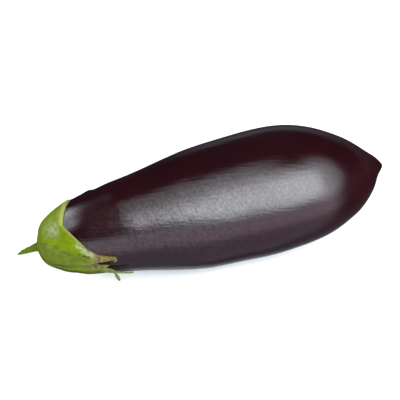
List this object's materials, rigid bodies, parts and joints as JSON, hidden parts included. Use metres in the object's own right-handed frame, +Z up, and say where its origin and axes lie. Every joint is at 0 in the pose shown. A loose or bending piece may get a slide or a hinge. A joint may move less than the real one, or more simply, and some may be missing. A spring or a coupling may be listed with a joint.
{
  "type": "eggplant",
  "caption": "Whole fresh eggplant with glossy dark purple skin, a green lobed calyx and a short torn stem, lying on its belly.",
  "frame": {"origin": "middle of the small flat spot under the belly that the eggplant rests on, at the height of the table", "axes": "+X from the stem end towards the blossom end, +Z up, +Y to the far side; the fruit's own axis rises 2.5 degrees towards +X"},
  "size_m": [0.2294, 0.0773, 0.0775],
  "materials": {
    "fruit_skin": "gloss",
    "calyx_green": "satin",
    "stem_green": "satin"
  },
  "bodies": {
    "root": {"fruit": "fruit_skin", "calyx": "calyx_green", "stem": "stem_green"}
  },
  "joints": []
}
